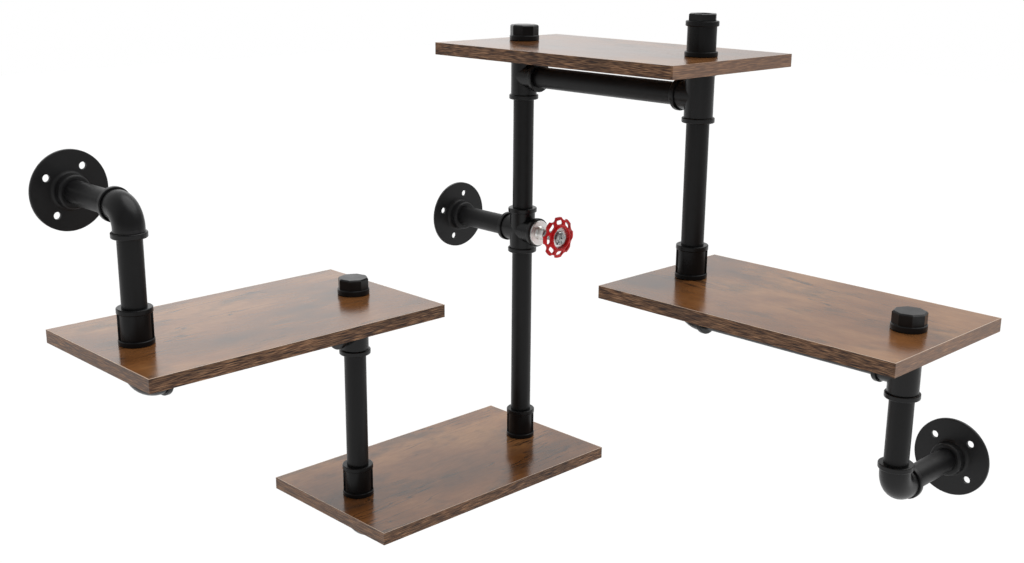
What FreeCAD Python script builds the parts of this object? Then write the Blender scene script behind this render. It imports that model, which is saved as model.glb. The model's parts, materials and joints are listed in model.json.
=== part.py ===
import FreeCAD, Part
import math
import os
import re

import Sketcher

# A corner shelf of black pipe and four boards, hung on two walls that meet at a right angle.
# The origin is the middle of the corner flange's back. The left wall is the plane X = 0, the right wall
# is parallel to X, on the +Y side, and Z is up. The left boards lie along Y, the right boards along X.

# Driving dimensions in millimetres, with turns in degrees
SIZES = {
    # Pipe
    "pipe_od": 26.7,
    "pipe_wall": 2.8,
    "thread_reach": 13.0,
    "socket_clearance": 0.05,
    "wall_pipe_length": 110.0,
    "drop_pipe_length": 100.0,
    "step_pipe_length": 170.0,
    "rail_pipe_length": 250.0,
    "riser_lower_length": 250.0,
    "riser_upper_length": 170.0,
    # Cast elbows, tees and the cross
    "fitting_reach": 30.0,
    "fitting_od": 33.5,
    "bead_od": 38.0,
    "bead_width": 6.0,
    "bead_round": 1.2,
    "bend_radius": 20.0,
    # Couplings
    "coupling_length": 40.0,
    "rib_od": 36.6,
    "rib_width": 6.0,
    "rib_turn_left_upper_outer": 62.0,
    "rib_turn_left_lower_outer": 53.0,
    "rib_turn_left_lower_inner": 41.0,
    "rib_turn_right_upper_outer": -53.0,
    "rib_turn_right_lower_inner": 37.0,
    # Caps
    "cap_height": 20.0,
    "cap_flats": 34.0,
    "cap_bead_width": 7.0,
    "cap_chamfer": 1.5,
    "cap_turn": 15.0,
    # Open bushing in the top coupling
    "bushing_flats": 30.0,
    "bushing_head": 8.0,
    "bushing_bore": 18.6,
    "bushing_chamfer": 1.6,
    "bushing_turn": -26.0,
    # Wall flanges
    "flange_od": 90.0,
    "flange_plate": 3.5,
    "flange_height": 17.0,
    "flange_lip": 2.0,
    "flange_hub_od": 38.0,
    "flange_hub_round": 4.0,
    "flange_mouth_round": 3.0,
    "flange_edge_round": 1.2,
    "flange_hole": 8.4,
    "flange_pcd": 61.0,
    "flange_turn_left": 33.0,
    "flange_turn_corner": 18.0,
    "flange_turn_right": 45.0,
    # Boards
    "board_length": 380.0,
    "board_width": 220.0,
    "board_thickness": 15.0,
    "board_hole_clearance": 0.5,
    "band_thickness": 1.0,
    # Valve bonnet and stem
    "bonnet_flange_od": 33.0,
    "bonnet_flange_thickness": 3.0,
    "bonnet_shoulder_od": 19.0,
    "bonnet_neck_od": 16.0,
    "bonnet_cone_height": 2.5,
    "bonnet_height": 15.0,
    "bonnet_round": 0.8,
    "stem_od": 12.0,
    "stem_clearance": 0.08,
    "stem_head_od": 18.0,
    "stem_head_thickness": 3.0,
    "stem_end_gap": 0.3,
    "stem_square": 8.0,
    "stem_tip_od": 7.0,
    "stem_tip_proud": 0.6,
    "stem_centre_od": 2.6,
    "stem_centre_depth": 3.0,
    # Handwheel
    "wheel_seat": 33.0,
    "wheel_drive_clearance": 0.1,
    "wheel_hub_od": 18.0,
    "wheel_floor_back": 2.8,
    "wheel_floor_front": 4.8,
    "wheel_ring_od": 34.0,
    "wheel_ring_id": 28.0,
    "wheel_ring_front": 9.6,
    "wheel_ring_round": 1.2,
    "wheel_web_back": 4.2,
    "wheel_web_front": 7.6,
    "wheel_od": 54.0,
    "wheel_rim_back": 0.2,
    "wheel_rim_front": 5.0,
    "wheel_round": 1.3,
    "scallop_od": 16.0,
    "scallop_depth": 3.0,
    "window_pitch_od": 40.8,
    "window_height": 5.4,
    "window_width": 12.0,
    "window_round": 0.5,
    # Washer and nut on the wheel
    "washer_gap": 0.3,
    "washer_rim": 0.6,
    "washer_height": 1.2,
    "washer_flat_od": 20.4,
    "nut_flats": 17.0,
    "nut_height": 3.2,
    "nut_chamfer": 0.7,
    "thread_clearance": 0.05,
}

# Counts
RIB_COUNT = 2
CAP_SIDES = 8
HEX_SIDES = 6
SQUARE_SIDES = 4
FLANGE_HOLES = 4
WHEEL_LOBES = 8

# Any size that a dimension or a circle can start from before it is tied to the sheet
START_SIZE = 1.0

# How far the middle of a quarter bend lies from its corner, as a share of the bend's radius
BEND_MIDDLE_SHARE = 1 - math.sqrt(0.5)

# Lengths that follow from the driving dimensions, as formulas in their names
DERIVED = {
    "pipe_radius": "pipe_od / 2",
    "bore_radius": "pipe_od / 2 - pipe_wall",
    "socket_radius": "pipe_od / 2 + socket_clearance",
    "bead_radius": "bead_od / 2",
    "body_radius": "fitting_od / 2",
    "stub": "fitting_reach - thread_reach",
    "bend_reach": "fitting_reach - bead_width / 2",
    "nipple_length": "board_thickness + 2 * thread_reach",
    "hole_spacing": "rail_pipe_length + 2 * stub",
    "corner_x": "stub + wall_pipe_length + flange_lip",
    "outer_right_x": "corner_x + 2 * hole_spacing",
    "middle_right_x": "corner_x + hole_spacing",
    "tier_rise": "coupling_length + step_pipe_length + 2 * stub + board_thickness",
    "under_board": "board_thickness + fitting_reach",
    "left_lower_top": "thread_reach - stub - riser_lower_length - coupling_length",
    "left_upper_top": "left_lower_top + tier_rise",
    "right_upper_top": "2 * stub + riser_upper_length + fitting_reach + board_thickness",
    "right_lower_top": "right_upper_top - tier_rise",
    "left_wall_z": "left_upper_top + coupling_length + drop_pipe_length + stub - thread_reach",
    "right_wall_z": "right_lower_top - under_board - drop_pipe_length - 2 * stub",
    "wheel_x": "corner_x + fitting_reach + wheel_seat",
}

X = FreeCAD.Vector(1, 0, 0)
Y = FreeCAD.Vector(0, 1, 0)
Z = FreeCAD.Vector(0, 0, 1)

doc = FreeCAD.newDocument("pipe_corner_shelf")
sheet = doc.addObject("Spreadsheet::Sheet", "sizes")
pieces = []


def fill_sheet():
    """Write every driving dimension to a cell that carries its name."""
    for row, (name, value) in enumerate(SIZES.items(), 1):
        sheet.set(f"A{row}", name)
        sheet.set(f"B{row}", str(value))
        sheet.setAlias(f"B{row}", name)
    doc.recompute()


def formula(text):
    """Turn a formula in size names into an expression on the sheet's cells."""
    def cell(match):
        word = match.group()
        if word in DERIVED:
            return "(" + formula(DERIVED[word]) + ")"
        if word in SIZES:
            return "sizes." + word
        return word
    return re.sub(r"[a-z_]+", cell, text)


def facing(z_axis, x_axis):
    """The turn that points a piece's own Z and X along two directions."""
    return FreeCAD.Rotation(x_axis, z_axis.cross(x_axis), z_axis, "ZXY")


def place(piece, x, y, z, turn=FreeCAD.Rotation()):
    """Turn a piece and tie its place to the sheet."""
    piece.Placement = FreeCAD.Placement(FreeCAD.Vector(), turn)
    for axis, text in zip("xyz", (x, y, z)):
        piece.setExpression(f"Placement.Base.{axis}", formula(text))
    pieces.append(piece)


def new_body(label):
    body = doc.addObject("PartDesign::Body", label)
    body.Label = label
    return body


def origin_feature(body, role):
    return next(feature for feature in body.Origin.OriginFeatures if feature.Role == role)


def add_sketch(body, role, height="0"):
    """A sketch on one of the body's own planes, lifted off it by a height."""
    sketch = body.newObject("Sketcher::SketchObject", "sketch")
    sketch.AttachmentSupport = [(origin_feature(body, role), "")]
    sketch.MapMode = "FlatFace"
    sketch.setExpression("AttachmentOffset.Base.z", formula(height))
    return sketch


def tie(sketch, kind, target, text, start=START_SIZE):
    """Add a dimension to a sketch and tie it to the sheet."""
    index = sketch.addConstraint(Sketcher.Constraint(kind, *target, start))
    sketch.setExpression(f"Constraints[{index}]", formula(text))


def add_outline(sketch, points):
    """A closed outline of straight lines through points given as formulas."""
    count = len(points)
    first = sketch.GeometryCount
    for index in range(count):
        after = (index + 1) % count
        start = FreeCAD.Vector(index, index * index, 0)
        end = FreeCAD.Vector(after, after * after, 0)
        sketch.addGeometry(Part.LineSegment(start, end), False)
    for index in range(count):
        after = (index + 1) % count
        sketch.addConstraint(Sketcher.Constraint("Coincident", first + index, 2, first + after, 1))
    for index, (x, y) in enumerate(points):
        tie(sketch, "DistanceX", (first + index, 1), x)
        tie(sketch, "DistanceY", (first + index, 1), y)


def add_circle(sketch, x, y, diameter):
    index = sketch.addGeometry(Part.Circle(FreeCAD.Vector(), Z, START_SIZE), False)
    tie(sketch, "DistanceX", (index, 3), x)
    tie(sketch, "DistanceY", (index, 3), y)
    tie(sketch, "Diameter", (index,), diameter)


def polygon_points(sides, flats):
    """Corners of a regular polygon, with a flat square to its own X."""
    half_turn = 180 / sides
    radius = f"{flats} / 2 / cos({half_turn})"
    turns = [half_turn * (2 * index + 1) for index in range(sides)]
    return [(f"{radius} * cos({turn})", f"{radius} * sin({turn})") for turn in turns]


def checked(feature, grows):
    """Recompute and make sure that the feature added or removed material."""
    before = feature.BaseFeature.Shape.Volume if feature.BaseFeature else 0
    doc.recompute()
    after = feature.Shape.Volume
    if (after > before) != grows or math.isclose(after, before):
        raise RuntimeError(f"{feature.getParentGeoFeatureGroup().Label}: {feature.Name} changed nothing")
    return feature


def turned(body, points, axis="V_Axis", cut=False):
    """Spin an outline in the XZ plane about its upright or level axis."""
    sketch = add_sketch(body, "XZ_Plane")
    add_outline(sketch, points)
    kind = "PartDesign::Groove" if cut else "PartDesign::Revolution"
    feature = body.newObject(kind, "turned")
    feature.Profile = sketch
    feature.ReferenceAxis = (sketch, [axis])
    feature.Angle = 360
    return checked(feature, not cut)


def padded(body, points, height, start="0"):
    """Raise an outline in the XY plane from a start height."""
    sketch = add_sketch(body, "XY_Plane", start)
    add_outline(sketch, points)
    feature = body.newObject("PartDesign::Pad", "pad")
    feature.Profile = sketch
    feature.setExpression("Length", formula(height))
    return checked(feature, True)


def pocketed(body, sketch):
    """Cut a sketch's outline upwards, right through the body."""
    feature = body.newObject("PartDesign::Pocket", "pocket")
    feature.Profile = sketch
    feature.Type = "ThroughAll"
    feature.Reversed = True
    return checked(feature, False)


def repeated(body, feature, count, grows):
    """Repeat a feature round the body's own Z axis."""
    pattern = body.newObject("PartDesign::PolarPattern", "round")
    pattern.Originals = [feature]
    pattern.Axis = (origin_feature(body, "Z_Axis"), [""])
    pattern.Angle = 360
    pattern.Occurrences = count
    body.Tip = pattern
    before = feature.Shape.Volume
    doc.recompute()
    if (pattern.Shape.Volume > before) != grows:
        raise RuntimeError(f"{body.Label}: the pattern changed nothing")
    return pattern


def eased(body, kind, names, text):
    """Round or chamfer the named edges of the body's last feature."""
    base = body.Tip
    feature = body.newObject("PartDesign::" + kind, "ease")
    feature.Base = (base, names)
    feature.setExpression("Radius" if kind == "Fillet" else "Size", formula(text))
    doc.recompute()
    return feature


def rims(body, diameter, height=None):
    """Names of the round edges of one diameter, at one height where it is given."""
    names = []
    for index, edge in enumerate(body.Tip.Shape.Edges, 1):
        if not isinstance(edge.Curve, Part.Circle):
            continue
        if not math.isclose(2 * edge.Curve.Radius, diameter):
            continue
        if height is None or math.isclose(edge.CenterOfMass.z, height):
            names.append(f"Edge{index}")
    return names


def curved_edges(body, inner, outer):
    """Names of the curved edges that lie between two radii from the body's own Z axis."""
    names = []
    for index, edge in enumerate(body.Tip.Shape.Edges, 1):
        radii = [math.hypot(corner.X, corner.Y) for corner in edge.Vertexes]
        if inner < min(radii) and max(radii) < outer and not isinstance(edge.Curve, Part.Line):
            names.append(f"Edge{index}")
    return names


def top_edges(body):
    """Names of the straight edges round the body's top face."""
    top = body.Tip.Shape.BoundBox.ZMax
    return [
        f"Edge{index}"
        for index, edge in enumerate(body.Tip.Shape.Edges, 1)
        if isinstance(edge.Curve, Part.Line)
        and all(math.isclose(corner.Z, top) for corner in edge.Vertexes)
    ]


def bead_outline(start, end):
    """A disc of the bead's size between two heights on the upright axis."""
    return [("0", start), ("bead_radius", start), ("bead_radius", end), ("0", end)]


def along_x(points):
    """Swap an upright outline to lie along the level axis."""
    return [(height, radius) for radius, height in points]


def pipe(label, length):
    """A plain length of pipe that stands on its own origin."""
    body = new_body(label)
    turned(body, [("bore_radius", "0"), ("pipe_radius", "0"), ("pipe_radius", length), ("bore_radius", length)])
    return body


def through_bore():
    """The passage of a straight run, with a thread socket at each end."""
    return [
        ("0", "-fitting_reach"),
        ("socket_radius", "-fitting_reach"),
        ("socket_radius", "-stub"),
        ("bore_radius", "-stub"),
        ("bore_radius", "stub"),
        ("socket_radius", "stub"),
        ("socket_radius", "fitting_reach"),
        ("0", "fitting_reach"),
    ]


def branch_bore():
    """The passage of one branch, from the middle of the fitting to its mouth."""
    return [
        ("0", "0"),
        ("bore_radius", "0"),
        ("bore_radius", "stub"),
        ("socket_radius", "stub"),
        ("socket_radius", "fitting_reach"),
        ("0", "fitting_reach"),
    ]


def beaded_run(start, end):
    """A cast run with a bead at each end."""
    return [
        ("0", start),
        ("bead_radius", start),
        ("bead_radius", f"{start} + bead_width"),
        ("body_radius", f"{start} + bead_width"),
        ("body_radius", f"{end} - bead_width"),
        ("bead_radius", f"{end} - bead_width"),
        ("bead_radius", end),
        ("0", end),
    ]


def beaded_branch():
    """A cast branch with a bead at its mouth."""
    return [
        ("0", "0"),
        ("body_radius", "0"),
        ("body_radius", "fitting_reach - bead_width"),
        ("bead_radius", "fitting_reach - bead_width"),
        ("bead_radius", "fitting_reach"),
        ("0", "fitting_reach"),
    ]


def round_beads(body):
    eased(body, "Fillet", rims(body, sheet.bead_od), "bead_round")


def tee(label):
    """A tee with its run along Z and its branch along X."""
    body = new_body(label)
    turned(body, beaded_run("-fitting_reach", "fitting_reach"))
    turned(body, along_x(beaded_branch()), "H_Axis")
    round_beads(body)
    turned(body, through_bore(), cut=True)
    turned(body, along_x(branch_bore()), "H_Axis", cut=True)
    return body


def cross(label):
    """A cross with its two runs along Z and X."""
    body = new_body(label)
    turned(body, beaded_run("-fitting_reach", "fitting_reach"))
    turned(body, along_x(beaded_run("-fitting_reach", "fitting_reach")), "H_Axis")
    round_beads(body)
    turned(body, through_bore(), cut=True)
    turned(body, along_x(through_bore()), "H_Axis", cut=True)
    return body


def add_bend(body):
    """The middle line of an elbow, from inside its bead on Z round to inside its bead on X."""
    sketch = add_sketch(body, "XZ_Plane")
    reach = sheet.fitting_reach - sheet.bead_width / 2
    bend = sheet.bend_radius
    corner = bend * BEND_MIDDLE_SHARE
    z_end, z_tangent = FreeCAD.Vector(0, reach, 0), FreeCAD.Vector(0, bend, 0)
    x_end, x_tangent = FreeCAD.Vector(reach, 0, 0), FreeCAD.Vector(bend, 0, 0)
    sketch.addGeometry(Part.LineSegment(z_end, z_tangent), False)
    sketch.addGeometry(Part.Arc(z_tangent, FreeCAD.Vector(corner, corner, 0), x_tangent), False)
    sketch.addGeometry(Part.LineSegment(x_tangent, x_end), False)
    for constraint in (
        ("Vertical", 0),
        ("Horizontal", 2),
        ("PointOnObject", 0, 1, -2),
        ("PointOnObject", 2, 2, -1),
        ("Tangent", 0, 2, 1, 1),
        ("Tangent", 1, 2, 2, 1),
    ):
        sketch.addConstraint(Sketcher.Constraint(*constraint))
    tie(sketch, "DistanceY", (0, 1), "bend_reach", reach)
    tie(sketch, "DistanceX", (2, 2), "bend_reach", reach)
    tie(sketch, "Radius", (1,), "bend_radius", bend)
    return sketch


def swept(body, bend, diameter, cut=False):
    """Sweep a circle along the bend."""
    sketch = add_sketch(body, "XY_Plane", "bend_reach")
    add_circle(sketch, "0", "0", diameter)
    kind = "PartDesign::SubtractivePipe" if cut else "PartDesign::AdditivePipe"
    feature = body.newObject(kind, "swept")
    feature.Profile = sketch
    feature.Spine = bend
    return checked(feature, not cut)


def elbow(label):
    """A right-angle elbow with its mouths on Z and X."""
    body = new_body(label)
    bend = add_bend(body)
    swept(body, bend, "fitting_od")
    bead = bead_outline("fitting_reach - bead_width", "fitting_reach")
    socket = [("0", "stub"), ("socket_radius", "stub"), ("socket_radius", "fitting_reach"), ("0", "fitting_reach")]
    turned(body, bead)
    turned(body, along_x(bead), "H_Axis")
    round_beads(body)
    swept(body, bend, "2 * bore_radius", cut=True)
    turned(body, socket, cut=True)
    turned(body, along_x(socket), "H_Axis", cut=True)
    return body


def coupling(label):
    """A ribbed coupling that stands on its own origin."""
    body = new_body(label)
    turned(body, beaded_run("0", "coupling_length"))
    round_beads(body)
    rib = [
        ("bore_radius", "-rib_width / 2"),
        ("rib_od / 2", "-rib_width / 2"),
        ("rib_od / 2", "rib_width / 2"),
        ("bore_radius", "rib_width / 2"),
    ]
    first = padded(body, rib, "coupling_length - bead_width", "bead_width / 2")
    repeated(body, first, RIB_COUNT, grows=True)
    bore = [
        ("0", "0"),
        ("socket_radius", "0"),
        ("socket_radius", "thread_reach"),
        ("bore_radius", "thread_reach"),
        ("bore_radius", "coupling_length - thread_reach"),
        ("socket_radius", "coupling_length - thread_reach"),
        ("socket_radius", "coupling_length"),
        ("0", "coupling_length"),
    ]
    turned(body, bore, cut=True)
    return body


def cap(label):
    """An eight-sided cap on a round bead."""
    body = new_body(label)
    turned(body, bead_outline("0", "cap_bead_width"))
    round_beads(body)
    padded(body, polygon_points(CAP_SIDES, "cap_flats"), "cap_height")
    eased(body, "Chamfer", top_edges(body), "cap_chamfer")
    socket = [("0", "0"), ("socket_radius", "0"), ("socket_radius", "thread_reach"), ("0", "thread_reach")]
    turned(body, socket, cut=True)
    return body


def bushing(label):
    """An open bushing: a hexagon head at its origin on a threaded shank."""
    body = new_body(label)
    padded(body, polygon_points(HEX_SIDES, "bushing_flats"), "bushing_head")
    eased(body, "Chamfer", top_edges(body), "bushing_chamfer / 2")
    shank = [("0", "-thread_reach"), ("pipe_radius", "-thread_reach"), ("pipe_radius", "0"), ("0", "0")]
    turned(body, shank)
    bore = [
        ("0", "-thread_reach"),
        ("bushing_bore / 2", "-thread_reach"),
        ("bushing_bore / 2", "bushing_head - bushing_chamfer"),
        ("bushing_bore / 2 + bushing_chamfer", "bushing_head"),
        ("0", "bushing_head"),
    ]
    turned(body, bore, cut=True)
    return body


def flange(label):
    """A round wall flange with its back on its own origin."""
    body = new_body(label)
    turned(body, [
        ("0", "0"),
        ("flange_od / 2", "0"),
        ("flange_od / 2", "flange_plate"),
        ("flange_hub_od / 2", "flange_plate"),
        ("flange_hub_od / 2", "flange_height"),
        ("0", "flange_height"),
    ])
    eased(body, "Fillet", rims(body, sheet.flange_hub_od, sheet.flange_plate), "flange_hub_round")
    eased(body, "Fillet", rims(body, sheet.flange_hub_od, sheet.flange_height), "flange_mouth_round")
    eased(body, "Fillet", rims(body, sheet.flange_od, sheet.flange_plate), "flange_edge_round")
    hole = add_sketch(body, "XY_Plane")
    add_circle(hole, "flange_pcd / 2", "0", "flange_hole")
    repeated(body, pocketed(body, hole), FLANGE_HOLES, grows=False)
    turned(body, [
        ("0", "0"),
        ("bore_radius", "0"),
        ("bore_radius", "flange_lip"),
        ("socket_radius", "flange_lip"),
        ("socket_radius", "flange_height"),
        ("0", "flange_height"),
    ], cut=True)
    return body


def rectangle(length, width):
    """Corners of a rectangle about the origin."""
    x, y = f"({length}) / 2", f"({width}) / 2"
    return [(f"-{x}", f"-{y}"), (x, f"-{y}"), (x, y), (f"-{x}", y)]


def board(label):
    """A board with its length along X, its underside at Z = 0 and a hole for each nipple."""
    body = new_body(label)
    sketch = add_sketch(body, "XY_Plane")
    add_outline(sketch, rectangle("board_length - 2 * band_thickness", "board_width - 2 * band_thickness"))
    for side in ("-", ""):
        add_circle(sketch, f"{side}hole_spacing / 2", "0", "pipe_od + 2 * board_hole_clearance")
    feature = body.newObject("PartDesign::Pad", "pad")
    feature.Profile = sketch
    feature.setExpression("Length", formula("board_thickness"))
    checked(feature, True)
    return body


def band_strip(length, width, x, y):
    strip = doc.addObject("Part::Box", "strip")
    for name, text in (("Length", length), ("Width", width), ("Height", "board_thickness")):
        strip.setExpression(name, formula(text))
    strip.setExpression("Placement.Base.x", formula(x))
    strip.setExpression("Placement.Base.y", formula(y))
    return strip


def edge_band(label):
    """The four strips glued round a board's edges, the long ones over the ends of the short ones."""
    long_x, long_y = "-board_length / 2", "board_width / 2"
    short_y = "-(board_width / 2 - band_thickness)"
    short_width = "board_width - 2 * band_thickness"
    band = doc.addObject("Part::Compound", label)
    band.Label = label
    band.Links = [
        band_strip("board_length", "band_thickness", long_x, f"-{long_y}"),
        band_strip("board_length", "band_thickness", long_x, f"{long_y} - band_thickness"),
        band_strip("band_thickness", short_width, long_x, short_y),
        band_strip("band_thickness", short_width, "board_length / 2 - band_thickness", short_y),
    ]
    return band


def valve_bonnet(label):
    """The bright bonnet: a shank below its origin, a flange on it and a cone up to the neck."""
    body = new_body(label)
    turned(body, [
        ("0", "-thread_reach"),
        ("pipe_radius", "-thread_reach"),
        ("pipe_radius", "0"),
        ("bonnet_flange_od / 2", "0"),
        ("bonnet_flange_od / 2", "bonnet_flange_thickness"),
        ("bonnet_shoulder_od / 2", "bonnet_flange_thickness"),
        ("bonnet_neck_od / 2", "bonnet_flange_thickness + bonnet_cone_height"),
        ("bonnet_neck_od / 2", "bonnet_height"),
        ("0", "bonnet_height"),
    ])
    eased(body, "Fillet", rims(body, sheet.bonnet_flange_od, sheet.bonnet_flange_thickness), "bonnet_round")
    eased(body, "Fillet", rims(body, sheet.bonnet_neck_od, sheet.bonnet_height), "bonnet_round")
    bore_radius = "stem_od / 2 + stem_clearance"
    turned(body, [("0", "-thread_reach"), (bore_radius, "-thread_reach"), (bore_radius, "bonnet_height"),
                  ("0", "bonnet_height")], cut=True)
    return body


def valve_stem(label):
    """The stem: a head behind the bonnet, a square for the wheel and a tip for the nut."""
    body = new_body(label)
    head_front = "-(thread_reach + stem_end_gap)"
    head_back = f"{head_front} - stem_head_thickness"
    square_top = "wheel_seat + wheel_floor_front"
    tip_top = f"{square_top} + washer_height + nut_height + stem_tip_proud"
    turned(body, [
        ("0", head_back),
        ("stem_head_od / 2", head_back),
        ("stem_head_od / 2", head_front),
        ("stem_od / 2", head_front),
        ("stem_od / 2", "wheel_seat"),
        ("stem_tip_od / 2", "wheel_seat"),
        ("stem_tip_od / 2", tip_top),
        ("0", tip_top),
    ])
    padded(body, polygon_points(SQUARE_SIDES, "stem_square"), square_top)
    centre = [("0", f"{tip_top} - stem_centre_depth"), ("stem_centre_od / 2", f"{tip_top} - stem_centre_depth"),
              ("stem_centre_od / 2", tip_top), ("0", tip_top)]
    turned(body, centre, cut=True)
    return body


def add_window(sketch):
    """A slot across the X axis, with a half round at each end."""
    middle = sheet.window_pitch_od / 2
    radius = sheet.window_height / 2
    half = sheet.window_width / 2 - radius
    low = Part.Circle(FreeCAD.Vector(middle, -half, 0), Z, radius)
    top = Part.Circle(FreeCAD.Vector(middle, half, 0), Z, radius)
    inner, outer = middle - radius, middle + radius
    sketch.addGeometry(Part.ArcOfCircle(top, 0, math.pi), False)
    sketch.addGeometry(Part.LineSegment(FreeCAD.Vector(inner, half, 0), FreeCAD.Vector(inner, -half, 0)), False)
    sketch.addGeometry(Part.ArcOfCircle(low, math.pi, 2 * math.pi), False)
    sketch.addGeometry(Part.LineSegment(FreeCAD.Vector(outer, -half, 0), FreeCAD.Vector(outer, half, 0)), False)
    sides = sketch.GeometryCount
    for index in range(sides):
        sketch.addConstraint(Sketcher.Constraint("Tangent", index, 2, (index + 1) % sides, 1))
    sketch.addConstraint(Sketcher.Constraint("Equal", 0, 2))
    for arc, side, offset in ((0, "", half), (2, "-", -half)):
        tie(sketch, "DistanceX", (arc, 3), "window_pitch_od / 2", middle)
        tie(sketch, "DistanceY", (arc, 3), f"{side}(window_width - window_height) / 2", offset)
    tie(sketch, "Radius", (0,), "window_height / 2", radius)


def handwheel(label):
    """The wheel: a square-holed hub in a dished web, with a window in each lobe and a scallop between lobes."""
    body = new_body(label)
    turned(body, [
        ("0", "0"),
        ("wheel_hub_od / 2", "0"),
        ("wheel_hub_od / 2", "wheel_floor_back"),
        ("wheel_ring_od / 2", "wheel_web_back"),
        ("wheel_od / 2", "wheel_rim_back"),
        ("wheel_od / 2", "wheel_rim_front"),
        ("wheel_ring_od / 2", "wheel_web_front"),
        ("wheel_ring_od / 2", "wheel_ring_front"),
        ("wheel_ring_id / 2", "wheel_ring_front"),
        ("wheel_ring_id / 2", "wheel_floor_front"),
        ("0", "wheel_floor_front"),
    ])
    scallop = add_sketch(body, "XY_Plane")
    half_lobe = 180 / WHEEL_LOBES
    reach = "(wheel_od / 2 - scallop_depth + scallop_od / 2)"
    add_circle(scallop, f"{reach} * cos({half_lobe})", f"{reach} * sin({half_lobe})", "scallop_od")
    repeated(body, pocketed(body, scallop), WHEEL_LOBES, grows=False)
    window = add_sketch(body, "XY_Plane")
    add_window(window)
    repeated(body, pocketed(body, window), WHEEL_LOBES, grows=False)
    drive = add_sketch(body, "XY_Plane")
    add_outline(drive, polygon_points(SQUARE_SIDES, "(stem_square + 2 * wheel_drive_clearance)"))
    pocketed(body, drive)
    window_inner = sheet.window_pitch_od - sheet.window_height
    window_outer = sheet.window_pitch_od + sheet.window_height
    inside = (sheet.wheel_ring_od + window_inner) / 4
    outside = (window_outer + sheet.wheel_od - 2 * sheet.scallop_depth) / 4
    eased(body, "Fillet", curved_edges(body, inside, outside), "window_round")
    eased(body, "Fillet", curved_edges(body, outside, sheet.wheel_od), "wheel_round")
    for diameter in (sheet.wheel_ring_od, sheet.wheel_ring_id):
        eased(body, "Fillet", rims(body, diameter, sheet.wheel_ring_front), "wheel_ring_round")
    return body


def wheel_washer(label):
    """The dished washer on the wheel's floor, inside its ring."""
    body = new_body(label)
    hole = "stem_tip_od / 2 + thread_clearance"
    rim = "wheel_ring_id / 2 - washer_gap"
    turned(body, [
        (hole, "0"),
        (rim, "0"),
        (rim, "washer_rim"),
        ("washer_flat_od / 2", "washer_height"),
        (hole, "washer_height"),
    ])
    return body


def wheel_nut(label):
    """The hexagon nut on the stem's tip."""
    body = new_body(label)
    padded(body, polygon_points(HEX_SIDES, "nut_flats"), "nut_height")
    eased(body, "Chamfer", top_edges(body), "nut_chamfer")
    hole = "stem_tip_od / 2 + thread_clearance"
    turned(body, [("0", "0"), (hole, "0"), (hole, "nut_height"), ("0", "nut_height")], cut=True)
    return body


# Where the pipes cross the boards, along Y on the left side and along X on the right side. The two boards of
# a side share the middle place.
LEFT_ENDS = {"outer": "-2 * hole_spacing", "middle": "-hole_spacing", "corner": "0"}
RIGHT_ENDS = {"corner": "corner_x", "middle": "middle_right_x", "outer": "outer_right_x"}


def build_board(side, tier):
    """A board with its edge band, on the side's pipe run."""
    name = f"{side}_{tier}"
    height = f"{name}_top - board_thickness"
    shift = {"left_upper": "3", "left_lower": "1", "right_upper": "1", "right_lower": "3"}[name]
    along = f"{shift} * hole_spacing / 2"
    for piece in (board(f"board_{name}"), edge_band(f"edge_band_{name}")):
        if side == "left":
            place(piece, "corner_x", f"-{along}", height, facing(Z, Y))
        else:
            place(piece, f"corner_x + {along}", "0", height)


def build_end(name, x, y, fitting, branch, top):
    """The fitting under one end of a board, the nipple through the board and the fitting on top."""
    board_top = "_".join(name.split("_")[:2]) + "_top"
    make_fitting = {"tee": tee, "elbow": elbow}[fitting]
    make_top = {"cap": cap, "coupling": coupling}[top]
    place(make_fitting(f"{fitting}_{name}"), x, y, f"{board_top} - under_board", facing(Z, branch))
    place(pipe(f"nipple_{name}", "nipple_length"), x, y, f"{board_top} - board_thickness - thread_reach")
    turn = sheet.cap_turn if top == "cap" else getattr(sheet, f"rib_turn_{name}")
    place(make_top(f"{top}_{name}"), x, y, board_top, FreeCAD.Rotation(Z, turn))


def build_left_side():
    """The two left boards, from the left wall's flange to the foot of the riser."""
    ends = LEFT_ENDS
    place(flange("flange_left"), "0", ends["outer"], "left_wall_z",
          facing(X, Z) * FreeCAD.Rotation(Z, -sheet.flange_turn_left))
    place(pipe("wall_pipe_left", "wall_pipe_length"), "flange_lip", ends["outer"], "left_wall_z", facing(X, Z))
    place(elbow("elbow_wall_left"), "corner_x", ends["outer"], "left_wall_z", facing(-Z, -X))
    place(pipe("drop_pipe_left", "drop_pipe_length"), "corner_x", ends["outer"],
          "left_upper_top + coupling_length - thread_reach")
    build_board("left", "upper")
    build_end("left_upper_outer", "corner_x", ends["outer"], "elbow", Y, "coupling")
    build_end("left_upper_inner", "corner_x", ends["middle"], "tee", -Y, "cap")
    build_board("left", "lower")
    build_end("left_lower_outer", "corner_x", ends["middle"], "elbow", Y, "coupling")
    build_end("left_lower_inner", "corner_x", ends["corner"], "elbow", -Y, "coupling")
    place(pipe("step_pipe_left", "step_pipe_length"), "corner_x", ends["middle"],
          "left_lower_top + coupling_length - thread_reach")
    for tier, start in (("upper", "outer"), ("lower", "middle")):
        place(pipe(f"rail_pipe_left_{tier}", "rail_pipe_length"), "corner_x", f"{ends[start]} + stub",
              f"left_{tier}_top - under_board", facing(Y, Z))


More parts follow.
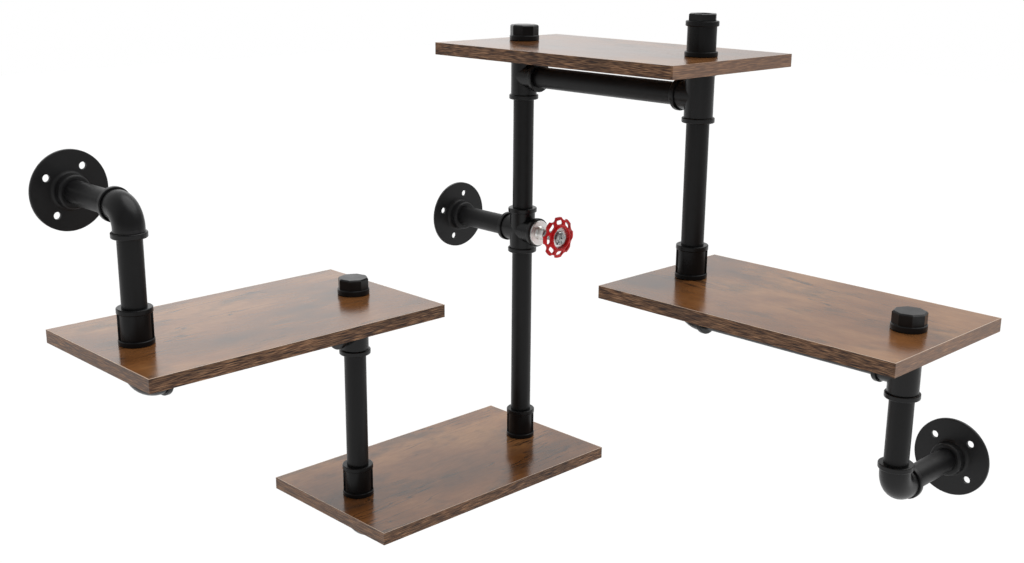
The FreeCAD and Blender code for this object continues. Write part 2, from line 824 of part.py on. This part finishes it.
def build_right_side():
    """The two right boards, from the head of the riser to the right wall's flange."""
    ends = RIGHT_ENDS
    build_board("right", "upper")
    build_end("right_upper_inner", ends["corner"], "0", "tee", X, "cap")
    build_end("right_upper_outer", ends["middle"], "0", "tee", -X, "coupling")
    place(bushing("bushing_right_upper_outer"), ends["middle"], "0", "right_upper_top + coupling_length",
          FreeCAD.Rotation(Z, sheet.bushing_turn))
    build_board("right", "lower")
    build_end("right_lower_inner", ends["middle"], "0", "elbow", X, "coupling")
    build_end("right_lower_outer", ends["outer"], "0", "tee", -X, "cap")
    place(pipe("step_pipe_right", "step_pipe_length"), ends["middle"], "0",
          "right_lower_top + coupling_length - thread_reach")
    for tier, start in (("upper", "corner"), ("lower", "middle")):
        place(pipe(f"rail_pipe_right_{tier}", "rail_pipe_length"), f"{ends[start]} + stub", "0",
              f"right_{tier}_top - under_board", facing(X, Z))
    place(pipe("drop_pipe_right", "drop_pipe_length"), ends["outer"], "0",
          "right_wall_z + stub")
    place(elbow("elbow_wall_right"), ends["outer"], "0", "right_wall_z", facing(Z, Y))
    place(pipe("wall_pipe_right", "wall_pipe_length"), ends["outer"], "stub", "right_wall_z", facing(Y, Z))
    place(flange("flange_right"), ends["outer"], "corner_x", "right_wall_z",
          facing(-Y, Z) * FreeCAD.Rotation(Z, sheet.flange_turn_right))


def build_riser():
    """The riser in the corner, with its flange, its cross and the valve on the cross."""
    place(flange("flange_corner"), "0", "0", "0", facing(X, Z) * FreeCAD.Rotation(Z, -sheet.flange_turn_corner))
    place(pipe("wall_pipe_corner", "wall_pipe_length"), "flange_lip", "0", "0", facing(X, Z))
    place(cross("riser_cross"), "corner_x", "0", "0")
    place(pipe("riser_pipe_lower", "riser_lower_length"), "corner_x", "0", "-stub - riser_lower_length")
    place(pipe("riser_pipe_upper", "riser_upper_length"), "corner_x", "0", "stub")
    mouth = "corner_x + fitting_reach"
    place(valve_bonnet("valve_bonnet"), mouth, "0", "0", facing(X, Z))
    place(valve_stem("valve_stem"), mouth, "0", "0", facing(X, Z))
    place(handwheel("handwheel"), "wheel_x", "0", "0", facing(X, Z))
    place(wheel_washer("wheel_washer"), "wheel_x + wheel_floor_front", "0", "0", facing(X, Z))
    place(wheel_nut("wheel_nut"), "wheel_x + wheel_floor_front + washer_height", "0", "0", facing(X, Z))


def check_document():
    """Stop if any object failed or any piece is empty or broken."""
    for item in doc.Objects:
        if {"Invalid", "Error"} & set(item.State):
            raise RuntimeError(f"{item.Label} failed: {item.State}")
    for piece in pieces:
        if piece.Shape.isNull() or not piece.Shape.isValid():
            raise RuntimeError(f"{piece.Label} has no valid shape")


def write_parts():
    os.makedirs("parts", exist_ok=True)
    for piece in pieces:
        piece.Shape.exportStep(f"parts/{piece.Label}.step")


fill_sheet()
build_left_side()
build_riser()
build_right_side()
doc.recompute()
check_document()
write_parts()
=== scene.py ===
import json
import math

import bpy
from mathutils import Matrix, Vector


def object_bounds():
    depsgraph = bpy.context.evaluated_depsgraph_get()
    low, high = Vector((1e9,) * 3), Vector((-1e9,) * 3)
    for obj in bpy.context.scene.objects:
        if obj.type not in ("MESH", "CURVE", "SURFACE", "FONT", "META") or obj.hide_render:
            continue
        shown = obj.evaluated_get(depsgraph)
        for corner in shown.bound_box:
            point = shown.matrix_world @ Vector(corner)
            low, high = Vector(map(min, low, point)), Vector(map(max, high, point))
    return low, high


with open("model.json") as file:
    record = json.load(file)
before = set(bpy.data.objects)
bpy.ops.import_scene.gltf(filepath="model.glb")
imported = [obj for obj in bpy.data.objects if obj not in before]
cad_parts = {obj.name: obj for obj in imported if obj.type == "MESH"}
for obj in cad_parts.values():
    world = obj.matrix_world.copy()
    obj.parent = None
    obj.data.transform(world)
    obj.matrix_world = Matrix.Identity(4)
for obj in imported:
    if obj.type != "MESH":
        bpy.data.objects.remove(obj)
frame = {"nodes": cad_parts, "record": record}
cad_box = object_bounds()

# A corner shelf of black pipe and brown boards, in metres. The left wall is the plane X = 0, the right wall
# is on the +Y side, and Z is up.

# Camera, at the photograph's viewing angle
IMAGE_WIDTH_PX = 1024
SENSOR_WIDTH_MM = 36.0
FOCAL_LENGTH_PX = 1287.1
CAMERA_PLACE = (1.3181, -1.1868, 0.3848)
CAMERA_YAW = math.radians(45.507)
CAMERA_PITCH = math.radians(15.241)
CAMERA_ROLL = math.radians(0.5)
QUARTER_TURN = math.pi / 2

# Studio: a floor well below the shelf and a wide key light from above
FLOOR_DROP = 0.75
FLOOR_SPAN = 24.0
FLOOR_COLOUR = (0.80, 0.80, 0.80, 1.0)
FLOOR_LIFT = 0.195
KEY_IRRADIANCE = 1.60
KEY_ANGLE = math.radians(60)
KEY_TILT = (math.radians(-27), math.radians(10), 0.0)

# What the studio shows to each kind of ray: white to the camera, an even grey to matt surfaces, and to shiny
# ones a dim room and a pale backdrop, which is brighter at its left end and dimmer low down. The shares are
# a direction's parts towards the bright end and upwards.
WORLD_DIFFUSE = 0.60
GLOSS_ROOM = 0.35
GLOSS_BACKDROP = 0.80
GLOSS_BRIGHT_RISE = 0.75
BRIGHT_END_AZIMUTH = math.radians(160)
BACKDROP_EDGE_SHARES = (-0.5, 0.6)
BRIGHT_EDGE_SHARES = (0.74, 0.95)
LOW_EDGE_SHARES = (0.04, 0.26)
LOW_LEVELS = (0.68, 1.0)

WHITE = (1.0, 1.0, 1.0, 1.0)
UNIT_RANGE = (0.0, 1.0)
NO_SHIFT = (0.0, 0.0, 0.0)
MATRIX_SIZE = 4

# Sockets of a Mix node that mixes colours
MIX_SHARE = 0
MIX_FIRST = 6
MIX_SECOND = 7
MIX_RESULT = 2


def set_camera():
    """The photograph's view, without a tone curve."""
    camera = bpy.data.objects.new("camera", bpy.data.cameras.new("camera"))
    camera.data.sensor_width = SENSOR_WIDTH_MM
    camera.data.lens = FOCAL_LENGTH_PX * SENSOR_WIDTH_MM / IMAGE_WIDTH_PX
    turn = (Matrix.Rotation(CAMERA_YAW, MATRIX_SIZE, "Z")
            @ Matrix.Rotation(QUARTER_TURN - CAMERA_PITCH, MATRIX_SIZE, "X")
            @ Matrix.Rotation(CAMERA_ROLL, MATRIX_SIZE, "Z"))
    camera.matrix_world = Matrix.Translation(CAMERA_PLACE) @ turn
    bpy.context.scene.collection.objects.link(camera)
    bpy.context.scene.camera = camera
    bpy.context.scene.view_settings.view_transform = "Standard"


def feed(tree, socket, value):
    """Link an input to an output, or set its value."""
    if isinstance(value, bpy.types.NodeSocket):
        tree.links.new(value, socket)
    else:
        socket.default_value = value


def add_node(tree, kind, inputs=None, **options):
    """Add a node, set its options, and set or link its inputs."""
    node = tree.nodes.new(kind)
    for name, value in options.items():
        setattr(node, name, value)
    for key, value in (inputs or {}).items():
        feed(tree, node.inputs[key], value)
    return node


def math_node(tree, operation, first, second=0.0):
    return add_node(tree, "ShaderNodeMath", {0: first, 1: second}, operation=operation).outputs[0]


def vector_node(tree, operation, first, second):
    return add_node(tree, "ShaderNodeVectorMath", {0: first, 1: second}, operation=operation).outputs[0]


def mixed(tree, share, first, second, blend="MIX"):
    """Mix two colours."""
    inputs = {MIX_SHARE: share, MIX_FIRST: first, MIX_SECOND: second}
    node = add_node(tree, "ShaderNodeMix", inputs, data_type="RGBA", blend_type=blend)
    return node.outputs[MIX_RESULT]


def ranged(tree, value, ends, levels=UNIT_RANGE):
    """Stretch a value from one range to another, and stop at its ends."""
    inputs = {0: value, 1: ends[0], 2: ends[1], 3: levels[0], 4: levels[1]}
    return add_node(tree, "ShaderNodeMapRange", inputs).outputs[0]


def noise(tree, place, recipe, shift=NO_SHIFT):
    """A noise with a recipe: its features per metre along each axis, its detail and its roughness."""
    scale, detail, roughness = recipe
    scaled = vector_node(tree, "MULTIPLY", vector_node(tree, "ADD", place, shift), scale)
    node = add_node(tree, "ShaderNodeTexNoise",
                    {"Vector": scaled, "Scale": 1.0, "Detail": detail, "Roughness": roughness})
    return node.outputs["Fac"]


def shaded(tree, colour, value, ends, shades):
    """Darken or lighten a colour by a noise."""
    shade = ranged(tree, value, ends, shades)
    grey = add_node(tree, "ShaderNodeCombineColor", {0: shade, 1: shade, 2: shade}).outputs[0]
    return mixed(tree, 1.0, colour, grey, "MULTIPLY")


def ramped(tree, value, stops):
    """Turn a value into a colour along a row of stops."""
    node = add_node(tree, "ShaderNodeValToRGB", {0: value})
    elements = node.color_ramp.elements
    while len(elements) < len(stops):
        elements.new(1.0)
    for element, (place, colour) in zip(elements, stops):
        element.position = place
        element.color = (*colour, 1.0)
    return node.outputs["Color"]


def bumped(tree, height, distance):
    """The surface's normal on a relief of some height."""
    inputs = {"Height": height, "Distance": distance, "Strength": 1.0}
    return add_node(tree, "ShaderNodeBump", inputs).outputs["Normal"]


def new_material(name):
    """A material with a node tree, its shader and the surface's place in metres."""
    material = bpy.data.materials.new(name)
    material.use_nodes = True
    tree = material.node_tree
    place = add_node(tree, "ShaderNodeTexCoord").outputs["Object"]
    return material, tree, tree.nodes["Principled BSDF"], place


def drive(tree, shader, **inputs):
    """Set or link the shader's inputs, with spaces in their names written as underscores."""
    for name, value in inputs.items():
        feed(tree, shader.inputs[name.replace("_", " ")], value)


def set_world():
    """The studio round the shelf, seen as each kind of ray needs it."""
    world = bpy.data.worlds.new("studio")
    bpy.context.scene.world = world
    world.use_nodes = True
    tree = world.node_tree
    direction = add_node(tree, "ShaderNodeTexCoord").outputs["Generated"]
    bright_way = (math.cos(BRIGHT_END_AZIMUTH), math.sin(BRIGHT_END_AZIMUTH), 0.0)
    turn = add_node(tree, "ShaderNodeVectorMath", {0: direction, 1: bright_way}, operation="DOT_PRODUCT")
    backdrop = ranged(tree, turn.outputs["Value"], BACKDROP_EDGE_SHARES, (GLOSS_ROOM, GLOSS_BACKDROP))
    bright = ranged(tree, turn.outputs["Value"], BRIGHT_EDGE_SHARES, (0.0, GLOSS_BRIGHT_RISE))
    up = add_node(tree, "ShaderNodeSeparateXYZ", {0: direction}).outputs[2]
    room = math_node(tree, "MULTIPLY", math_node(tree, "ADD", backdrop, bright),
                     ranged(tree, up, LOW_EDGE_SHARES, LOW_LEVELS))
    rays = add_node(tree, "ShaderNodeLightPath").outputs
    mirror_ray = math_node(tree, "MAXIMUM", rays["Is Glossy Ray"], rays["Is Transmission Ray"])
    other_ray = math_node(tree, "SUBTRACT", 1.0, mirror_ray)
    level = math_node(tree, "ADD",
                      math_node(tree, "MULTIPLY", mirror_ray, room),
                      math_node(tree, "MULTIPLY", other_ray, WORLD_DIFFUSE))
    level = math_node(tree, "MAXIMUM", level, rays["Is Camera Ray"])
    background = tree.nodes["Background"]
    tree.links.new(level, background.inputs["Strength"])
    background.inputs["Color"].default_value = WHITE


def set_floor():
    """A pale floor that keeps the shelf's shadow, lifted to white where it is in full light."""
    half = FLOOR_SPAN / 2
    height = cad_box[0][2] - FLOOR_DROP
    mesh = bpy.data.meshes.new("floor")
    corners = [(-half, -half, height), (half, -half, height), (half, half, height), (-half, half, height)]
    mesh.from_pydata(corners, [], [tuple(range(len(corners)))])
    floor = bpy.data.objects.new("floor", mesh)
    bpy.context.scene.collection.objects.link(floor)
    material, tree, shader, _ = new_material("floor")
    rays = add_node(tree, "ShaderNodeLightPath").outputs
    shown = math_node(tree, "MAXIMUM", rays["Is Camera Ray"], rays["Is Glossy Ray"])
    shown = math_node(tree, "MAXIMUM", shown, rays["Is Transmission Ray"])
    drive(tree, shader, Base_Color=FLOOR_COLOUR, Roughness=1.0, Specular_IOR_Level=0.0,
          Emission_Color=WHITE,
          Emission_Strength=math_node(tree, "MULTIPLY", shown, FLOOR_LIFT))
    mesh.materials.append(material)


def set_light():
    """The key light, as wide as a soft box."""
    lamp = bpy.data.lights.new("key", "SUN")
    lamp.energy = KEY_IRRADIANCE
    lamp.angle = KEY_ANGLE
    key = bpy.data.objects.new("key", lamp)
    key.rotation_euler = KEY_TILT
    bpy.context.scene.collection.objects.link(key)


# Boards: brown printed laminate. A noise is given as its features per metre along the grain, across it and
# up, its detail and its roughness.
SWAY_NOISE = ((4.0, 9.0, 9.0), 2.0, 0.5)
SWAY = (0.0, 0.030, 0.0)
NOISE_MIDDLE = 0.5
TONE_NOISE = ((5.0, 9.0, 9.0), 5.0, 0.58)
LAMINATE_TONES = (
    (0.28, (0.090, 0.034, 0.011)),
    (0.40, (0.148, 0.058, 0.018)),
    (0.51, (0.218, 0.088, 0.028)),
    (0.64, (0.335, 0.158, 0.058)),
)
SMUDGE_NOISE = ((13.0, 24.0, 24.0), 4.0, 0.55)
SMUDGE_SHIFT = (3.1, 7.7, 0.0)
SMUDGE_ENDS = (0.52, 0.68)
SMUDGE_LEVELS = (0.0, 0.66)
SMUDGE_COLOUR = (0.040, 0.027, 0.020, 1.0)
CRACK_NOISE = ((3.5, 34.0, 34.0), 3.0, 0.5)
CRACK_ENDS = (0.0, 0.012)
CRACK_LEVELS = (0.92, 0.0)
CRACK_PATCH_NOISE = ((6.0, 11.0, 11.0), 2.0, 0.5)
CRACK_PATCH_ENDS = (0.46, 0.56)
CRACK_COLOUR = (0.030, 0.016, 0.010, 1.0)
STREAK_NOISE = ((16.0, 150.0, 150.0), 3.0, 0.6)
STREAK_ENDS = (0.30, 0.70)
STREAK_SHADES = (0.94, 1.05)
PORE_NOISE = ((60.0, 900.0, 900.0), 2.0, 0.6)
PORE_ENDS = (0.30, 0.70)
PORE_SHADES = (0.86, 1.10)
LAMINATE_TONE_ENDS = (0.30, 0.70)
LAMINATE_ROUGHNESS = (0.16, 0.22)
LAMINATE_RELIEF = 0.00004

# Where each board's print starts, so that no two boards match and clouds fall about as in the photograph
BOARD_PRINTS = {
    "left_upper": (1.320, 0.561, 0.0),
    "left_lower": (0.576, 4.789, 0.0),
    "right_upper": (4.887, 4.734, 0.0),
    "right_lower": (1.751, 4.030, 0.0),
}


def along_grain(tree, place, side):
    """The surface's place with its first part along the grain: Y for left boards, X for right ones."""
    if side == "right":
        return place
    parts = add_node(tree, "ShaderNodeSeparateXYZ", {0: place}).outputs
    return add_node(tree, "ShaderNodeCombineXYZ", {0: parts[1], 1: parts[0], 2: parts[2]}).outputs[0]


def laminate(name, side, print_start):
    """A wood print that sways along the grain: clouds of tone, smudges, cracks, streaks and pores."""
    material, tree, shader, place = new_material(name)
    grain = along_grain(tree, place, side)
    grain = vector_node(tree, "ADD", grain, print_start)
    waves = math_node(tree, "SUBTRACT", noise(tree, grain, SWAY_NOISE), NOISE_MIDDLE)
    sway = add_node(tree, "ShaderNodeVectorMath", {0: SWAY, "Scale": waves}, operation="SCALE").outputs[0]
    grain = vector_node(tree, "ADD", grain, sway)

    tone = noise(tree, grain, TONE_NOISE)
    colour = ramped(tree, tone, LAMINATE_TONES)
    smudge = ranged(tree, noise(tree, grain, SMUDGE_NOISE, SMUDGE_SHIFT), SMUDGE_ENDS, SMUDGE_LEVELS)
    colour = mixed(tree, smudge, colour, SMUDGE_COLOUR)
    crack = math_node(tree, "SUBTRACT", noise(tree, grain, CRACK_NOISE), NOISE_MIDDLE)
    crack = ranged(tree, math_node(tree, "ABSOLUTE", crack), CRACK_ENDS, CRACK_LEVELS)
    patch = ranged(tree, noise(tree, grain, CRACK_PATCH_NOISE, SMUDGE_SHIFT), CRACK_PATCH_ENDS)
    colour = mixed(tree, math_node(tree, "MULTIPLY", crack, patch), colour, CRACK_COLOUR)
    colour = shaded(tree, colour, noise(tree, grain, STREAK_NOISE), STREAK_ENDS, STREAK_SHADES)
    pores = noise(tree, grain, PORE_NOISE)
    colour = shaded(tree, colour, pores, PORE_ENDS, PORE_SHADES)

    drive(tree, shader, Base_Color=colour, Normal=bumped(tree, pores, LAMINATE_RELIEF),
          Roughness=ranged(tree, tone, LAMINATE_TONE_ENDS, LAMINATE_ROUGHNESS))
    return material


# Edge bands: short dashes along the strip, painted light on the short ends, and a pale top and bottom that is
# part cut edge and part painted highlight
BAND_NOISE = ((62.0, 62.0, 2300.0), 1.5, 0.5)
BAND_TONES = (
    (0.36, (0.012, 0.005, 0.003)),
    (0.47, (0.054, 0.022, 0.010)),
    (0.54, (0.135, 0.062, 0.029)),
    (0.64, (0.330, 0.180, 0.092)),
)
BAND_TONE_ENDS = (0.36, 0.68)
BAND_PATCH_NOISE = ((12.0, 12.0, 90.0), 2.0, 0.5)
BAND_PATCH_ENDS = (0.30, 0.70)
BAND_PATCH_SHADES = (0.76, 1.34)
# Painted light: the short ends are paled as if lit, more on the right boards' ends than on the left ones'
END_PAINTED_LIGHT_COLOUR = (0.40, 0.255, 0.185, 1.0)
END_PAINTED_LIGHT_SHARES = {"left": 0.14, "right": 0.36}
# Pale top and bottom: partly the band's raw cut edge, partly a painted highlight standing in for a rounded
# edge
CUT_EDGE_AND_HIGHLIGHT_COLOUR = (0.60, 0.45, 0.34, 1.0)
BAND_ROUGHNESS = (0.38, 0.50)
BAND_SPECULAR = 0.30
BAND_RELIEF = 0.00006


def edge_print(name, side):
    """A dashed print on an edge band, with painted light on its short ends and a pale cut edge with a painted
    highlight above and below, told apart by the way that each faces.
    """
    material, tree, shader, place = new_material(name)
    normal = add_node(tree, "ShaderNodeNewGeometry").outputs["Normal"]
    across = add_node(tree, "ShaderNodeSeparateXYZ", {0: normal}).outputs
    on_end = math_node(tree, "ABSOLUTE", across[1] if side == "left" else across[0])
    on_top = math_node(tree, "ABSOLUTE", across[2])
    streaks = noise(tree, place, BAND_NOISE)
    colour = ramped(tree, streaks, BAND_TONES)
    colour = shaded(tree, colour, noise(tree, place, BAND_PATCH_NOISE), BAND_PATCH_ENDS, BAND_PATCH_SHADES)
    # Painted light: faces turned to the board's ends are paled by a share set by side
    painted_end_light = math_node(tree, "MULTIPLY", on_end, END_PAINTED_LIGHT_SHARES[side])
    colour = mixed(tree, painted_end_light, colour, END_PAINTED_LIGHT_COLOUR)
    # Top and bottom faces: cut edge colour with a painted highlight of a rounded edge
    colour = mixed(tree, on_top, colour, CUT_EDGE_AND_HIGHLIGHT_COLOUR)
    drive(tree, shader, Base_Color=colour, Specular_IOR_Level=BAND_SPECULAR,
          Roughness=ranged(tree, streaks, BAND_TONE_ENDS, BAND_ROUGHNESS),
          Normal=bumped(tree, streaks, BAND_RELIEF))
    return material


# Black coatings: a satin coat on the pipes and flanges, and a glossier and coarser one on the other castings,
# which is deepest on the couplings
CLOUD_ENDS = (0.35, 0.65)
COAT_CLOUD_NOISE = ((34.0, 34.0, 34.0), 4.0, 0.6)
PIPE_COAT = {
    "pebble": ((1900.0, 1900.0, 1900.0), 3.0, 0.6),
    "tones": ((0.35, (0.0045, 0.0045, 0.0049)), (0.65, (0.0078, 0.0078, 0.0082))),
    "roughness": (0.36, 0.46),
    "specular": 0.22,
    "relief": 0.000020,
}
CASTING_COAT = {
    "pebble": ((700.0, 700.0, 700.0), 3.0, 0.6),
    "tones": ((0.35, (0.0030, 0.0030, 0.0033)), (0.65, (0.0055, 0.0055, 0.0060))),
    "roughness": (0.26, 0.36),
    "specular": 0.29,
    "relief": 0.000035,
}
COUPLING_COAT = {**CASTING_COAT, "specular": 0.20}
FLANGE_COAT = {
    "pebble": ((900.0, 900.0, 900.0), 3.0, 0.6),
    "tones": ((0.35, (0.0060, 0.0060, 0.0065)), (0.65, (0.0110, 0.0110, 0.0115))),
    "roughness": (0.42, 0.52),
    "specular": 0.30,
    "relief": 0.000030,
}


def black_coat(name, coat):
    material, tree, shader, place = new_material(name)
    cloud = noise(tree, place, COAT_CLOUD_NOISE)
    drive(tree, shader, Base_Color=ramped(tree, cloud, coat["tones"]), Specular_IOR_Level=coat["specular"],
          Roughness=ranged(tree, cloud, CLOUD_ENDS, coat["roughness"]),
          Normal=bumped(tree, noise(tree, place, coat["pebble"]), coat["relief"]))
    return material


# Red paint on the handwheel
RED_CLOUD_NOISE = ((90.0, 90.0, 90.0), 3.0, 0.5)
RED_TONES = ((0.35, (0.460, 0.003, 0.005)), (0.65, (0.610, 0.006, 0.009)))
RED_ROUGHNESS = (0.24, 0.34)
RED_SPECULAR = 0.25
RED_PEEL_NOISE = ((700.0, 700.0, 700.0), 1.0, 0.5)
RED_PEEL_RELIEF = 0.00003


def red_paint():
    material, tree, shader, place = new_material("red_paint")
    cloud = noise(tree, place, RED_CLOUD_NOISE)
    drive(tree, shader, Base_Color=ramped(tree, cloud, RED_TONES), Specular_IOR_Level=RED_SPECULAR,
          Roughness=ranged(tree, cloud, CLOUD_ENDS, RED_ROUGHNESS),
          Normal=bumped(tree, noise(tree, place, RED_PEEL_NOISE), RED_PEEL_RELIEF))
    return material


# Bare metal on the valve, with fine turning marks along its axis: satin nickel, and a darker zinc on the nut
TURNING_NOISE = ((2600.0, 40.0, 40.0), 2.0, 0.5)
TURNING_RELIEF = 0.000006
NICKEL = {
    "cloud": ((60.0, 60.0, 60.0), 3.0, 0.5),
    "tones": ((0.35, (0.70, 0.69, 0.67)), (0.65, (0.86, 0.85, 0.83))),
    "roughness": (0.32, 0.44),
}
ZINC = {
    "cloud": ((420.0, 420.0, 420.0), 2.0, 0.6),
    "tones": ((0.38, (0.10, 0.10, 0.10)), (0.62, (0.56, 0.56, 0.55))),
    "roughness": (0.28, 0.44),
}


def bare_metal(name, metal):
    material, tree, shader, place = new_material(name)
    cloud = noise(tree, place, metal["cloud"])
    drive(tree, shader, Base_Color=ramped(tree, cloud, metal["tones"]), Metallic=1.0,
          Roughness=ranged(tree, cloud, CLOUD_ENDS, metal["roughness"]),
          Normal=bumped(tree, noise(tree, place, TURNING_NOISE), TURNING_RELIEF))
    return material


def dress(node, material):
    """Give a CAD node its finish."""
    piece = frame["nodes"][node]
    piece.data.materials.clear()
    piece.data.materials.append(material)


def dress_all():
    """Dress each board and its band by its side, and each other node by its name or else by its slot."""
    slots = {row["node"]: row["material_slot"] for row in frame["record"]["subparts"]}
    zinc = bare_metal("zinc", ZINC)
    finishes = {
        "black_pipe": black_coat("black_pipe", PIPE_COAT),
        "black_casting": black_coat("black_casting", CASTING_COAT),
        "red_paint": red_paint(),
        "chrome": bare_metal("nickel", NICKEL),
    }
    own_finishes = {
        "flange": black_coat("flange_coat", FLANGE_COAT),
        "coupling": black_coat("coupling_coat", COUPLING_COAT),
        "wheel_nut": zinc,
        "valve_stem": zinc,
    }
    for board, print_start in BOARD_PRINTS.items():
        side = board.split("_")[0]
        dress(f"board_{board}", laminate(f"laminate_{board}", side, print_start))
        dress(f"edge_band_{board}", edge_print(f"edge_print_{board}", side))
    for node, slot in slots.items():
        finish = finishes.get(slot)
        for start, own_finish in own_finishes.items():
            if node.startswith(start):
                finish = own_finish
        if finish:
            dress(node, finish)


set_camera()
set_world()
set_floor()
set_light()
dress_all()
